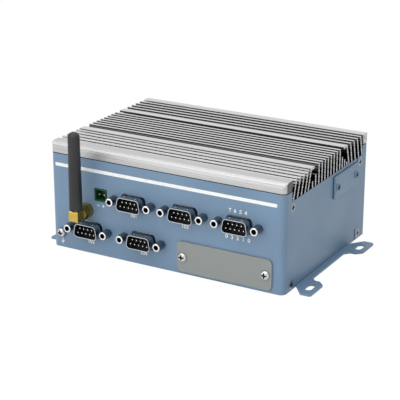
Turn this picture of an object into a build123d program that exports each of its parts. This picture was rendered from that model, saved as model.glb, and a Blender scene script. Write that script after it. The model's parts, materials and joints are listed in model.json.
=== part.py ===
"""Fanless box computer for an industrial cabinet, with a finned lid, front ports and a stub antenna.

Millimetres. The origin is the centre of the underside: +X to the right seen from the ports,
+Y to the rear and +Z up. Places along the depth are given from the front face of the front panel.
"""
from build123d import *
from math import cos, radians, sin, tan
import os

# Housing
chassis_width = 154.5
chassis_depth = 108.7
panel_height = 58.7
sheet = 1.2
corner_radius = 3.5
fit_gap = 0.15
seam = 0.4

# Finned lid: heights from the top of the panel, and depths from the front or from the rear
lid_rise = 6.5
lid_base_drop = 12.3
groove_drop = 7.4
shoulder_drop = 5.8
front_post = 8.0
rear_post_depth = 6.2
lid_overhang = 0.3
lip_depth = 8.9
lip_wall_foot = 4.9
lip_radius = 4.0
flute_radius = 0.45
flute_depth = 0.3
flute_angles = (0, 30, 62)
rib_depth = 5.9
rib_wall_foot = 2.4
fin_thickness = 1.9
ripple_pitch = 1.5
ripple_depth = 0.48
fin_root = 0.6
end_stock = 1.0
end_skim = 0.02
lean_back = 4.2
lean_forward = -3.3
leaning_front_fins = 4
first_front_fin = 13.0
front_fin_pitch = 4.8
upright_fins = 8
first_upright_fin = 41.5
last_upright_from_rear = 38.85
leaning_rear_fins = 4
first_rear_fin_from_rear = 24.2
rear_fin_pitch = 4.9
rear_lean_factor = 1.25
cap_width = 5.4
cap_thickness = 1.3
front_cap_start = 30.4
rear_cap_from_rear = 33.7
# Short fins beside the caps: depth from the front or the rear, and how far below the panel's top they end
front_short_fins = ((33.3, 1.7), (37.3, -1.3))
rear_short_fins = ((35.3, -0.9), (32.0, 1.3), (28.8, 3.6))

# Base plate and its slotted ears
plate_thickness = 1.2
strip_reach = 3.8
ear_reach = 13.2
ear_front = 6.2
ear_length = 20.0
ear_round = 1.6
ear_root = 9.0
ear_shoulder = 6.8
ear_corner_length = 3.8
ear_corner_width = 3.6
ear_neck = 6.4
ear_neck_run = 3.4
plate_overlap = 6.0
slot_from_wall = 8.2
slot_front = 16.3
slot_from_rear = 23.4
slot_length = 8.6
slot_width = 4.2
# The left ears are short and square, for smaller screws
left_reach = 7.35
left_front = 7.0
left_round = 0.8
left_slot_from_wall = 4.0
left_slot_width = 3.4
tab_height = 8.0
tab_length = 11.0
tab_thickness = 1.8

# Side wall screws, and the relief slits beside the rear ones
low_screw_height = 3.4
high_screw_drop = 9.7
side_screw_front = 9.4
side_screw_from_rear = 8.3
slit_from_rear = 13.0
slit_width = 1.0
lower_slit_top = 7.4
upper_slit_drop = 14.0

# Screws: countersunk and pan heads, all cross recessed
thread = 3.0
thread_clearance = 0.2
sunk_head = 5.4
sunk_depth = 1.1
sunk_clearance = 0.1
pan_head = 5.5
pan_height = 1.9
pan_cheek = 0.45
pan_crown_reach = 0.72
pan_crown_height = 0.87
small_pan_head = 4.4
small_pan_height = 1.15
recess_width = 0.9
recess_span = 3.4
recess_foot = 0.55
recess_foot_width = 0.8
recess_depth = 1.3
recess_extra = 0.2
screw_length = 6.0
hole_spare = 1.0

# Nine-way ports: shells, jackscrews and pins
upper_row_drop = 21.7
lower_row = 15.25
upper_row_xs = (-20.04, 14.31, 48.94)
lower_row_xs = (-50.13, -13.55)
jack_spacing = 24.99
jack_flats = 4.8
hexagon_corner = 0.555
jack_reach = 6.5
jack_bore = 2.84
jack_bore_depth = 5.5
jack_stud = 2.7
jack_hole_clearance = 0.3
jack_stud_length = 5.0
shell_width = 16.9
shell_height = 8.4
shell_round = 2.4
shell_wall = 0.45
shell_reach = 6.2
shell_slant = 10.0
cutout_margin = 0.8
flange_width = 30.8
flange_height = 12.5
flange_thickness = 1.0
flange_round = 1.0
dimple_radius = 0.7
dimple_place = 0.55
dimple_root = 0.2
dimple_proud = 0.3
dimple_spacing = 3.8
socket_floor = 0.4
pin_pitch = 2.77
pin_row_gap = 2.84
pin_width = 1.0
pin_reach = 5.2
port_body_width = 19.2
port_body_top = 5.4
port_body_depth = 10.0
port_core_gap = 0.05
board_below_port = 6.9

# Power inlet
power_x = -42.45
power_drop = 21.0
power_width = 8.3
power_height = 7.4
power_wall = 0.7
power_proud = 0.3
power_depth = 9.0
power_socket_depth = 7.0
power_pin_pitch = 3.5
power_pin_width = 1.0
power_pin_reach = 5.6
power_gap = 0.25

# Antenna and its bulkhead jack
antenna_x = -52.0
antenna_rise = 11.75
jack_thread = 6.25
jack_thread_reach = 7.0
jack_body_length = 1.5
jack_tail_width = 2.6
jack_tail_length = 4.0
jack_body_flats = 8.0
jack_core = 4.4
jack_core_depth = 4.0
nut_flats = 8.0
nut_edge = 0.24
lock_nut_thickness = 1.8
nut_gap = 0.2
nut_thread_gap = 0.02
neck_gap = 0.05
neck_start = 0.1
coupling_nut_length = 6.2
coupling_nut_wall_end = 1.0
elbow_side = 6.5
elbow_length = 6.8
elbow_rise = 0.3
elbow_edge = 0.5
neck_width = 5.2
stem_width = 4.4
stem_height = 6.0
stem_gap = 0.5
stem_collar = 5.6
sleeve_foot_width = 7.9
sleeve_tip_width = 6.9
sleeve_top = 77.6
sleeve_round = 2.6

# Earth screw
earth_place = (-70.6, 9.6)
earth_thread = 3.0
earth_head = 5.2
earth_head_height = 2.0
earth_washer = 6.0
earth_washer_thickness = 0.7
earth_length = 3.6

# Blank plate over the expansion opening
blank_place = (39.8, 10.95)
blank_width = 60.5
blank_height = 18.5
blank_thickness = 1.2
blank_round = 3.0
blank_screw_inset = 3.85
expansion_side_margin = 7.75
expansion_top_margin = 2.75

# Access cover on the right wall, placed from the rear and from the panel's top
access_from_rear = 47.2
access_length = 33.2
access_drop = 21.4
access_height = 13.7
access_thickness = 1.4
access_round = 1.0
access_edge = 0.6
access_screw_inset = 3.55
access_window_side_margin = 7.1
access_window_height = 6.5
access_window_drop = 1.0

# Boards and what holds them
board_thickness = 1.6
board_front = 3.2
board_rear_gap = 1.4
board_side_gap = 3.6
standoff_flats = 5.0
post_inset_x = 6.5
post_inset_front = 18.0
post_inset_rear = 14.7
post_bore_depth = 5.0
post_stud_grip = 3.4
board_screw_grip = 4.0
board_screw_head = 5.0
board_screw_head_height = 1.6

# Processor and its cooling block, on the upper board
processor_place = (26.0, 10.0)
processor_side = 24.0
processor_height = 2.2
pad_thickness = 0.5
block_side = 38.0
block_edge = 1.5

# Cards lying level in their sockets: X and depth from the front, width, length, socket and height
memory_place = (-28.5, 16.15)
memory_width = 67.6
memory_length = 30.0
memory_socket_depth = 7.0
memory_socket_height = 5.2
storage_place = (-20.0, 40.35)
storage_width = 30.0
storage_length = 50.95
radio_place = (-52.0, 20.35)
radio_width = 22.0
radio_length = 30.0
card_socket_depth = 7.0
card_socket_height = 5.0
card_lift = 2.6
card_thickness = 1.2
card_edge = 1.0
chip_thickness = 1.0
chip_inset = 4.0

# Smaller things on the boards
cell_place = (-30.0, 14.0)
cell_width = 20.0
cell_height = 3.2
cell_holder_wall = 1.2
cell_gap = 0.1
link_place = (30.0, 30.0)
link_width = 50.0
link_depth = 6.0
controller_place = (30.0, -6.0)
controller_side = 16.0
controller_height = 1.6
expansion_socket_width = 40.0
expansion_socket_depth = 6.0
expansion_socket_height = 7.6
expansion_socket_back = 8.0
lead_width = 1.4
lead_bend = 6.0
lead_landing = 14.0

# Rear ports on the upper board
lan_places = (-52.0, -32.0)
lan_width = 16.0
lan_height = 13.4
lan_depth = 21.4
lan_mouth_width = 11.8
lan_mouth_height = 8.0
lan_mouth_depth = 14.0
lan_key_width = 6.2
lan_key_height = 2.2
lan_mouth_rise = 3.4
usb_places = (-9.0, 11.0)
usb_width = 13.2
usb_height = 15.4
usb_depth = 17.6
usb_mouth_width = 12.2
usb_mouth_height = 5.2
usb_mouth_depth = 9.0
usb_tongue_height = 1.9
usb_storey = 7.4
usb_floor = 1.2
usb_tongue_side_gap = 0.6
usb_tongue_top_gap = 0.4
video_place = 36.0
video_width = 15.2
video_height = 6.2
video_depth = 11.5
video_wall = 0.5
video_mouth_depth = 8.0
video_tongue_width = 11.0
video_tongue_height = 1.6
rear_cutout_gap = 0.3
rear_port_proud = 0.4
rear_flange = 10.0
rear_flange_thickness = 1.8
rear_flange_drop = 2.0

# Two-storey card reader behind the access cover
reader_width = 17.5
reader_depth = 16.0
reader_slot_height = 1.4
reader_slot_rise = 1.5
reader_wall = 1.5

# What follows from the sizes above
front = -chassis_depth / 2
half_width = chassis_width / 2
wall_inner = half_width - sheet
rear_panel_inner = chassis_depth - sheet
lid_top = panel_height + lid_rise
lid_base_low = panel_height - lid_base_drop
groove_floor = panel_height - groove_drop
shoulder_height = panel_height - shoulder_drop
rear_post = chassis_depth - rear_post_depth
lid_rear = chassis_depth + lid_overhang
last_upright_fin = chassis_depth - last_upright_from_rear
upright_fin_pitch = (last_upright_fin - first_upright_fin) / (upright_fins - 1)
rear_cap_start = chassis_depth - rear_cap_from_rear
ear_rear = ear_front + ear_length
ear_middle = (slot_front + chassis_depth - slot_from_rear) / 2
side_screw_rows = (low_screw_height, panel_height - high_screw_drop)
side_screw_depths = (side_screw_front, chassis_depth - side_screw_from_rear)
upper_row = panel_height - upper_row_drop
upper_ports = [(x, upper_row) for x in upper_row_xs]
lower_ports = [(x, lower_row) for x in lower_row_xs]
port_places = [upper_ports[0], lower_ports[0], upper_ports[1], lower_ports[1], upper_ports[2]]
power_place = (power_x, panel_height - power_drop)
antenna_place = (antenna_x, lower_row + antenna_rise)
access_depth = chassis_depth - access_from_rear + access_length / 2
access_middle = (access_depth, panel_height - access_drop + access_height / 2)
upper_board_top = upper_row - board_below_port
lower_board_top = lower_row - board_below_port
upper_board_low = upper_board_top - board_thickness
lower_board_low = lower_board_top - board_thickness
lid_seam_height = panel_height + seam


def y_at(depth):
    """The Y of a place that lies DEPTH behind the front face."""
    return front + depth


def block(x, y, z):
    """A box between three pairs of low and high values."""
    centre = Pos((x[0] + x[1]) / 2, (y[0] + y[1]) / 2, (z[0] + z[1]) / 2)
    return centre * Box(x[1] - x[0], y[1] - y[0], z[1] - z[0])


def front_plane(x, z, depth=0.0):
    """A plane facing out of the front panel, with +X to the right and +Z up on it."""
    return Plane(origin=(x, y_at(depth), z), x_dir=(1, 0, 0), z_dir=(0, -1, 0))


def side_plane(side, depth, z, inward=0.0):
    """A plane facing out of the left (-1) or right (+1) wall."""
    origin = (side * (half_width - inward), y_at(depth), z)
    return Plane(origin=origin, x_dir=(0, side, 0), z_dir=(side, 0, 0))


def pull(plane, outline, low, high):
    """The outline drawn on the plane, made solid from LOW to HIGH along its normal."""
    return extrude(plane.offset(low) * outline, amount=high - low)


def hexagon(flats):
    """A hexagon with two flats level."""
    return RegularPolygon(flats / 2, 6, major_radius=False)


def pair(spacing):
    """Two places, left and right of the middle."""
    return [Pos(side * spacing / 2, 0) for side in (-1, 1)]


def polygon(*corners):
    """A face with straight sides between its corners."""
    return make_face(Polyline(*corners, close=True))


def joined(pieces):
    """Several separate solids as one group."""
    return Compound(children=list(pieces))


def cross_recess(span, width, depth):
    """The cross that a screwdriver enters, below the plane z = 0, with its arms narrowing downwards."""
    foot = Pos(0, 0, -depth) * Rectangle(span * recess_foot, width * recess_foot_width)
    mouth = Pos(0, 0, fit_gap) * Rectangle(span, width)
    arm = loft([foot, mouth])
    return arm + Rot(0, 0, 90) * arm


def sunk_screw(length):
    """A countersunk screw with its flat head at z = 0 and its shank below."""
    head = Pos(0, 0, -sunk_depth / 2) * Cone(thread / 2, sunk_head / 2, sunk_depth)
    shank = Pos(0, 0, -length / 2) * Cylinder(thread / 2, length)
    return head + shank - cross_recess(recess_span, recess_width, recess_depth)


def pan_screw(head, height, diameter, length):
    """A pan head screw that seats at z = 0, with its shank below."""
    cheek = height * pan_cheek
    half = head / 2
    outline = Polyline((0, 0), (half, 0), (half, cheek))
    crown = ThreePointArc((half, cheek), (half * pan_crown_reach, height * pan_crown_height), (0, height))
    top = revolve(make_face(Plane.XZ * Curve([outline, crown, Line((0, height), (0, 0))])), Axis.Z)
    shank = Pos(0, 0, -length / 2) * Cylinder(diameter / 2, length)
    deep = recess_depth + height * recess_extra
    return top + shank - Pos(0, 0, height) * cross_recess(recess_span, recess_width, deep)


def export(shape, name):
    """Writes one node's file."""
    shape.label = name
    export_step(shape, f"parts/{name}.step")


def plan(width, depth, radius, start):
    """An outline seen from above with its two front corners rounded, starting START behind the front."""
    low = y_at(start)
    half = width / 2
    face = polygon((-half, low), (half, low), (half, low + depth), (-half, low + depth))
    return fillet(face.vertices().group_by(Axis.Y)[0], radius)


def shell_outline(grow):
    """The D outline of a nine-way port, wide side down, grown on every side."""
    half_top = shell_width / 2 - shell_height * tan(radians(shell_slant)) + grow
    half_low = shell_width / 2 + grow
    half_high = shell_height / 2 + grow
    low = [(-half_low, -half_high), (half_low, -half_high)]
    high = [(half_top, half_high), (-half_top, half_high)]
    return fillet(polygon(*low, *high).vertices(), shell_round + grow)


def side_screw_places():
    """Side, depth and height of the eight countersunk wall screws."""
    return [(side, depth, z) for side in (-1, 1) for depth in side_screw_depths for z in side_screw_rows]


def right_ear():
    """Plan of the right front ear and half of the strip behind it."""
    wall = half_width
    tip = wall + ear_reach
    neck = ear_rear + ear_neck_run
    corners = [
        (wall - plate_overlap, ear_front + ear_root),
        (wall, ear_front + ear_root),
        (wall + ear_shoulder, ear_front),
        (tip, ear_front),
        (tip, ear_rear - ear_corner_length),
        (tip - ear_corner_width, ear_rear),
        (wall + ear_neck, ear_rear),
        (wall + strip_reach, neck),
        (wall + strip_reach, ear_middle),
        (wall - plate_overlap, ear_middle),
    ]
    face = polygon(*[(x, y_at(depth)) for x, depth in corners])
    rounds = [v for v in face.vertices() if v.X > wall + fit_gap and v.Y < y_at(neck + fit_gap)]
    return fillet(rounds, ear_round)


def left_ear():
    """Plan of the left front ear, short and square, and half of the strip behind it."""
    wall = -half_width
    tip = wall - left_reach
    corners = [
        (wall + plate_overlap, ear_front + ear_root),
        (wall, ear_front + ear_root),
        (wall, left_front),
        (tip, left_front),
        (tip, ear_rear),
        (wall - strip_reach, ear_rear + ear_neck_run),
        (wall - strip_reach, ear_middle),
        (wall + plate_overlap, ear_middle),
    ]
    face = polygon(*[(x, y_at(depth)) for x, depth in corners])
    rounds = [v for v in face.vertices() if v.X < tip + fit_gap]
    return fillet(rounds, left_round)


def ear_slot(width):
    """The cutter for one slot, long way along the depth."""
    return extrude(Rot(0, 0, 90) * SlotOverall(slot_length, width), amount=3 * plate_thickness, both=True)


def make_base_plate():
    """Flat plate inside the walls, with a strip and two slotted ears under each side wall."""
    inside = 2 * (wall_inner - fit_gap)
    inner = plan(inside, rear_panel_inner - sheet - 2 * fit_gap, corner_radius - sheet, sheet + fit_gap)
    plate = extrude(inner, amount=plate_thickness)
    middle = Plane.XZ.offset(-y_at(ear_middle))
    for outline in (right_ear(), left_ear()):
        quarter = extrude(outline, amount=plate_thickness)
        plate = plate + quarter + mirror(quarter, about=middle)
    slots = ((half_width + slot_from_wall, slot_width), (-half_width - left_slot_from_wall, left_slot_width))
    for x, width in slots:
        for depth in (slot_front, chassis_depth - slot_from_rear):
            plate = plate - Pos(x, y_at(depth), 0) * ear_slot(width)
    tab_outer = wall_inner - fit_gap
    tab_low = side_screw_front - tab_length / 2
    for side in (-1, 1):
        x = sorted((side * tab_outer, side * (tab_outer - tab_thickness)))
        plate = plate + block(x, (y_at(tab_low), y_at(tab_low + tab_length)), (0, tab_height))
        hole = side_plane(side, side_screw_front, low_screw_height)
        plate = plate - pull(hole, Circle(thread / 2), -screw_length - hole_spare, 0)
    for x, depth in board_post_places():
        plate = plate - Pos(x, y_at(depth), 0) * Cylinder(thread / 2, 4 * plate_thickness)
    return plate


def board_post_places():
    """The four posts that carry both boards, as X and depth."""
    x = wall_inner - board_side_gap - post_inset_x
    depths = (post_inset_front, chassis_depth - post_inset_rear)
    return [(side * x, depth) for side in (-1, 1) for depth in depths]


def port_holes():
    """The cutters for the ports' openings and their jackscrews."""
    through = -sheet - hole_spare
    holes = []
    for x, z in port_places:
        face = front_plane(x, z)
        holes.append(pull(face, shell_outline(cutout_margin), through, hole_spare))
        for spot in pair(jack_spacing):
            holes.append(pull(face, spot * Circle(jack_stud / 2 + jack_hole_clearance), through, hole_spare))
    return holes


def front_holes():
    """The cutters for what else the front panel carries."""
    through = -sheet - hole_spare
    inlet = Rectangle(power_width + 2 * power_gap, power_height + 2 * power_gap)
    blank = front_plane(*blank_place)
    window_width = blank_width - 2 * expansion_side_margin
    window = RectangleRounded(window_width, blank_height - 2 * expansion_top_margin, blank_round / 2)
    outlines = [
        (front_plane(*power_place), inlet),
        (front_plane(*antenna_place), Circle(jack_thread / 2 + thread_clearance)),
        (front_plane(*earth_place), Circle(earth_thread / 2 + thread_clearance)),
        (blank, window),
    ]
    for spot in pair(blank_width - 2 * blank_screw_inset):
        outlines.append((blank, spot * Circle(thread / 2)))
    return [pull(face, outline, through, hole_spare) for face, outline in outlines]


def access_holes():
    """The cutters for the window behind the access cover and its two screws."""
    through = -sheet - hole_spare
    access = side_plane(1, *access_middle)
    window_length = access_length - 2 * access_window_side_margin
    window = RectangleRounded(window_length, access_window_height, access_round)
    outlines = [Pos(0, -access_window_drop) * window]
    for spot in pair(access_length - 2 * access_screw_inset):
        outlines.append(spot * Circle(thread / 2))
    return [pull(access, outline, through, hole_spare) for outline in outlines]


def wall_screw_holes():
    """The cutters for the countersunk screws of both side walls."""
    head = Cone(thread / 2, (sunk_head + sunk_clearance) / 2, sunk_depth + 2 * end_skim)
    sunk = Pos(0, 0, -sunk_depth / 2) * head
    holes = []
    for place in side_screw_places():
        wall = side_plane(*place)
        holes.append(pull(wall, Circle(thread / 2 + thread_clearance), -sheet - hole_spare, hole_spare))
        holes.append(wall.location * sunk)
    return holes


def make_wrap_cover():
    """Front panel and both side walls, bent from one sheet, with every cut-out."""
    outer = extrude(plan(chassis_width, chassis_depth, corner_radius, 0), amount=panel_height)
    inner = plan(2 * wall_inner, chassis_depth + hole_spare, corner_radius - sheet, sheet)
    cover = outer - Pos(0, 0, -1) * extrude(inner, amount=panel_height + 2)
    wide = (-half_width - hole_spare, half_width + hole_spare)
    shoulder = (shoulder_height, panel_height + hole_spare)
    cover = cover - block(wide, (y_at(front_post), y_at(rear_post)), shoulder)
    under = (-hole_spare, plate_thickness + fit_gap)
    notch_low = ear_front + ear_root - fit_gap
    notch = (y_at(notch_low), y_at(2 * ear_middle - notch_low))
    cover = cover - block(wide, notch, under)
    left_low = left_front - fit_gap
    left_notch = (y_at(left_low), y_at(2 * ear_middle - left_low))
    cover = cover - block((wide[0], 0), left_notch, under)
    slit_place = chassis_depth - slit_from_rear
    slit = (y_at(slit_place - slit_width / 2), y_at(slit_place + slit_width / 2))
    cover = cover - block(wide, slit, (-hole_spare, lower_slit_top))
    cover = cover - block(wide, slit, (panel_height - upper_slit_drop, panel_height))
    for hole in port_holes() + front_holes() + access_holes() + wall_screw_holes():
        cover = cover - hole
    return cover


def fin(top_y, top_z, lean):
    """Section of one blade, LEAN being how far its top stands behind its foot at full height."""
    low_z = groove_floor - fin_root
    steps = 2 * round((top_z - groove_floor) / ripple_pitch)
    sides = {-1: [], 1: []}
    for i in range(steps + 1):
        z = groove_floor + (top_z - groove_floor) * i / steps
        y = top_y - lean * (top_z - z) / (lid_top - groove_floor)
        half = fin_thickness / 2 - ripple_depth * (i % 2)
        for side in sides:
            sides[side].append((y + side * half, z))
    foot = top_y - lean * (top_z - low_z) / (lid_top - groove_floor)
    start = [(foot - fin_thickness / 2, low_z), (foot + fin_thickness / 2, low_z)]
    return make_face(Polyline(*start, *sides[1], *reversed(sides[-1]), close=True))


def lid_section():
    """Section of the extruded lid, as depth and height."""
    inner_front = sheet + fit_gap
    inner_rear = rear_panel_inner - fit_gap
    rib_start = lid_rear - rib_depth
    foot = groove_floor - fin_root
    low = [(inner_front, lid_base_low), (inner_rear, lid_base_low)]
    base = polygon(*low, (inner_rear, groove_floor), (inner_front, groove_floor))
    lip_front = [(inner_front, foot), (inner_front, lid_seam_height), (0, lid_seam_height)]
    lip_front.append((0, lid_top - lip_radius))
    lip_back = [(lip_radius, lid_top), (lip_depth, lid_top), (lip_wall_foot, foot), (inner_front, foot)]
    nose = RadiusArc(lip_front[-1], lip_back[0], lip_radius)
    lip = make_face(Curve([Polyline(*lip_front), nose, Polyline(*lip_back)]))
    rib_wall = [(rib_start, lid_top), (inner_rear - rib_wall_foot, foot), (inner_rear, foot)]
    rib_back = [(inner_rear, lid_seam_height), (lid_rear, lid_seam_height), (lid_rear, lid_top)]
    section = base + lip + polygon(*rib_wall, *rib_back)
    for i in range(leaning_front_fins):
        section = section + fin(first_front_fin + i * front_fin_pitch, lid_top, lean_back)
    for i in range(upright_fins):
        section = section + fin(first_upright_fin + i * upright_fin_pitch, lid_top, 0)
    for i in range(leaning_rear_fins):
        depth = chassis_depth - first_rear_fin_from_rear + i * rear_fin_pitch
        section = section + fin(depth, lid_top, lean_forward)
    for depth, drop in front_short_fins:
        section = section + fin(depth, panel_height - drop, 0)
    for from_rear, drop in rear_short_fins:
        section = section + fin(chassis_depth - from_rear, panel_height - drop, 0)
    cap_height = lid_top - cap_thickness / 2
    section = section + fin(front_cap_start + fin_thickness / 2, lid_top, lean_back)
    section = section + Pos(front_cap_start + cap_width / 2, cap_height) * Rectangle(cap_width, cap_thickness)
    rear_cap_fin = rear_cap_start + cap_width - fin_thickness / 2
    section = section + fin(rear_cap_fin, lid_top, rear_lean_factor * lean_forward)
    section = section + Pos(rear_cap_start + cap_width / 2, cap_height) * Rectangle(cap_width, cap_thickness)
    for angle in flute_angles:
        out = lip_radius + flute_radius - flute_depth
        centre = (lip_radius - out * cos(radians(angle)), lid_top - lip_radius + out * sin(radians(angle)))
        section = section - Pos(*centre) * Circle(flute_radius)
    return section


def make_heatsink():
    """The extruded lid, its ends milled to sit on the walls and between the corner posts."""
    profile = Plane(origin=(0, front, 0), x_dir=(0, 1, 0), z_dir=(1, 0, 0))
    lid = extrude(profile * lid_section(), amount=half_width + end_stock, both=True)
    over = plan(chassis_width, lid_rear + end_stock, corner_radius, -end_skim)
    over = Pos(0, 0, lid_seam_height) * extrude(over, amount=lid_top + end_stock - lid_seam_height)
    shoulders = (y_at(front_post + fit_gap), y_at(rear_post - fit_gap))
    between = block((-half_width, half_width), shoulders, (shoulder_height + fit_gap, lid_top + end_stock))
    inside_width = 2 * (wall_inner - fit_gap)
    inner = plan(inside_width, chassis_depth, corner_radius - sheet, sheet + fit_gap - end_skim)
    lid = lid & (over + between + extrude(inner, amount=lid_top))
    for side, depth, z in side_screw_places():
        if z > lid_base_low:
            lid = lid - pull(side_plane(side, depth, z), Circle(thread / 2), -screw_length - hole_spare, 0)
    return lid


def rear_cutouts():
    """X, width, height and kind of each socket on the rear, all standing on the upper board."""
    places = [(x, lan_width, lan_height) for x in lan_places]
    places += [(x, usb_width, usb_height) for x in usb_places]
    return places + [(video_place, video_width, video_height)]


def make_rear_panel():
    """Flat rear plate with two side flanges inside the walls."""
    half = wall_inner - fit_gap
    low = plate_thickness + fit_gap
    panel = block((-half, half), (y_at(rear_panel_inner), y_at(chassis_depth)), (low, panel_height))
    flange_depths = (y_at(rear_panel_inner - rear_flange), y_at(rear_panel_inner))
    for side in (-1, 1):
        x = sorted((side * half, side * (half - rear_flange_thickness)))
        panel = panel + block(x, flange_depths, (low, lid_base_low - rear_flange_drop))
        hole = side_plane(side, side_screw_depths[1], low_screw_height)
        panel = panel - pull(hole, Circle(thread / 2), -screw_length - hole_spare, 0)
    gap = rear_cutout_gap
    through = (y_at(rear_panel_inner - hole_spare), y_at(chassis_depth + hole_spare))
    for x, width, height in rear_cutouts():
        half_cut = width / 2 + gap
        z = (upper_board_top - gap, upper_board_top + height + gap)
        panel = panel - block((x - half_cut, x + half_cut), through, z)
    return panel


def make_expansion_cover():
    """Blank plate over the expansion opening, on two screws."""
    face = front_plane(*blank_place)
    plate = pull(face, RectangleRounded(blank_width, blank_height, blank_round), 0, blank_thickness)
    for spot in pair(blank_width - 2 * blank_screw_inset):
        hole = spot * Circle(thread / 2 + thread_clearance)
        plate = plate - pull(face, hole, -hole_spare, blank_thickness + hole_spare)
    return plate


def make_access_cover():
    """Pressed cover on the right wall, with a rounded rim and two screws."""
    face = side_plane(1, *access_middle)
    plate = pull(face, RectangleRounded(access_length, access_height, access_round), 0, access_thickness)
    for spot in pair(access_length - 2 * access_screw_inset):
        hole = spot * Circle(thread / 2 + thread_clearance)
        plate = plate - pull(face, hole, -hole_spare, access_thickness + hole_spare)
    rim = plate.faces().sort_by(Axis.X)[-1].outer_wire().edges()
    return fillet(rim, access_edge)


def make_port(x, z):
    """Shell, insulator and pins of one nine-way plug."""
    face = front_plane(x, z)
    flange_back = -sheet - flange_thickness
    flange_outline = RectangleRounded(flange_width, flange_height, flange_round)
    flange = pull(face, flange_outline, flange_back, -sheet)
    shell = flange + pull(face, shell_outline(0), -sheet, shell_reach)
    inside = shell_outline(-shell_wall)
    shell = shell - pull(face, inside, flange_back - hole_spare, shell_reach + hole_spare)
    for spot in pair(jack_spacing):
        hole = spot * Circle(jack_stud / 2 + jack_hole_clearance)
        shell = shell - pull(face, hole, flange_back - hole_spare, hole_spare)
    roof = z + shell_height / 2
    wide = (x - shell_width, x + shell_width)
    slab = block(wide, (y_at(-shell_reach), y_at(0)), (roof - dimple_root, roof + dimple_proud))
    for side in (-1, 1):
        spot = front_plane(x + side * dimple_spacing, roof, -shell_reach * dimple_place)
        shell = shell + (spot.location * Sphere(dimple_radius) & slab)
    core = pull(face, shell_outline(-shell_wall - port_core_gap), flange_back, socket_floor)
    body_back = flange_back - port_body_depth
    middle = (port_body_top - board_below_port) / 2
    body_outline = Pos(0, middle) * Rectangle(port_body_width, port_body_top + board_below_port)
    core = core + pull(face, body_outline, body_back, flange_back)
    pins = []
    for row, count in ((1, 4), (-1, 5)):
        for i in range(count):
            place = Pos((i - (count - 1) / 2) * pin_pitch, row * pin_row_gap / 2)
            pins.append(pull(face, place * Circle(pin_width / 2), socket_floor, pin_reach))
    return shell, core, joined(pins)


def make_jackscrews():
    """Two hexagonal jackscrews for each port, bored from the front for the plug's own screws."""
    screws = []
    for x, z in port_places:
        for side in (-1, 1):
            face = front_plane(x + side * jack_spacing / 2, z)
            corners = Circle(jack_flats * hexagon_corner)
            body = pull(face, hexagon(jack_flats) & corners, 0, jack_reach)
            stud = pull(face, Circle(jack_stud / 2), -jack_stud_length, 0)
            bore = pull(face, Circle(jack_bore / 2), jack_reach - jack_bore_depth, jack_reach + hole_spare)
            screws.append(body + stud - bore)
    return joined(screws)


def make_power_inlet():
    """Two-way pin header in the front panel: housing, and its two pins."""
    x, z = power_place
    face = front_plane(x, z)
    housing = pull(face, Rectangle(power_width, power_height), -power_depth, power_proud)
    wide = (x - power_width / 2, x + power_width / 2)
    housing = housing + block(wide, (y_at(board_front), y_at(power_depth)), (upper_board_top, z))
    start = power_proud - power_socket_depth
    mouth = Rectangle(power_width - 2 * power_wall, power_height - 2 * power_wall)
    housing = housing - pull(face, mouth, start, power_proud + hole_spare)
    pin = Rectangle(power_pin_width, power_pin_width)
    pins = [pull(face, spot * pin, start, start + power_pin_reach) for spot in pair(power_pin_pitch)]
    return housing, joined(pins)


def make_antenna_jack():
    """Threaded bulkhead jack through the front panel, with its hexagon and tail behind it."""
    face = front_plane(*antenna_place)
    body_back = -sheet - jack_body_length
    jack = pull(face, Circle(jack_thread / 2), -sheet, jack_thread_reach)
    jack = jack + pull(face, hexagon(jack_body_flats), body_back, -sheet)
    jack = jack + pull(face, Circle(jack_tail_width / 2), body_back - jack_tail_length, -sheet)
    core_back = jack_thread_reach - jack_core_depth
    return jack - pull(face, Circle(jack_core / 2), core_back, jack_thread_reach + hole_spare)


def make_lock_nut():
    """The jack's nut, tight against the front panel."""
    face = front_plane(*antenna_place)
    nut = pull(face, hexagon(nut_flats), 0, lock_nut_thickness)
    return nut - pull(face, Circle(jack_thread / 2), -hole_spare, lock_nut_thickness + hole_spare)


def make_coupling_nut(start, end):
    """The antenna's own nut, turned down at both ends and closed round the elbow's neck."""
    x, z = antenna_place
    face = front_plane(x, z)
    nut = pull(face, hexagon(nut_flats), start, end)
    middle = front_plane(x, z, -(start + end) / 2).location
    turned = middle * Cylinder(nut_flats * hexagon_corner, end - start)
    nut = nut & chamfer(turned.edges().filter_by(GeomType.CIRCLE), nut_edge)
    thread_bore = Circle(jack_thread / 2 + nut_thread_gap)
    nut = nut - pull(face, thread_bore, start - hole_spare, end - coupling_nut_wall_end)
    return nut - pull(face, Circle(neck_width / 2 + neck_gap), start, end + hole_spare)


def make_elbow(start):
    """Square elbow with its neck in the nut, and the stem that the sleeve is pressed on."""
    x, z = antenna_place
    face = front_plane(x, z)
    half = elbow_side / 2
    middle = z + elbow_rise
    y = (y_at(-start - elbow_length), y_at(-start))
    elbow = block((x - half, x + half), y, (middle - half, middle + half))
    elbow = chamfer(elbow.faces().sort_by(Axis.Y)[0].edges(), elbow_edge)
    elbow = elbow + pull(face, Circle(neck_width / 2), jack_thread_reach + neck_start, start)
    top = Pos(x, (y[0] + y[1]) / 2, middle + half)
    elbow = elbow + top * Pos(0, 0, stem_gap / 2) * Cylinder(stem_collar / 2, stem_gap)
    return elbow + top * Pos(0, 0, stem_height / 2) * Cylinder(stem_width / 2, stem_height)


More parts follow.
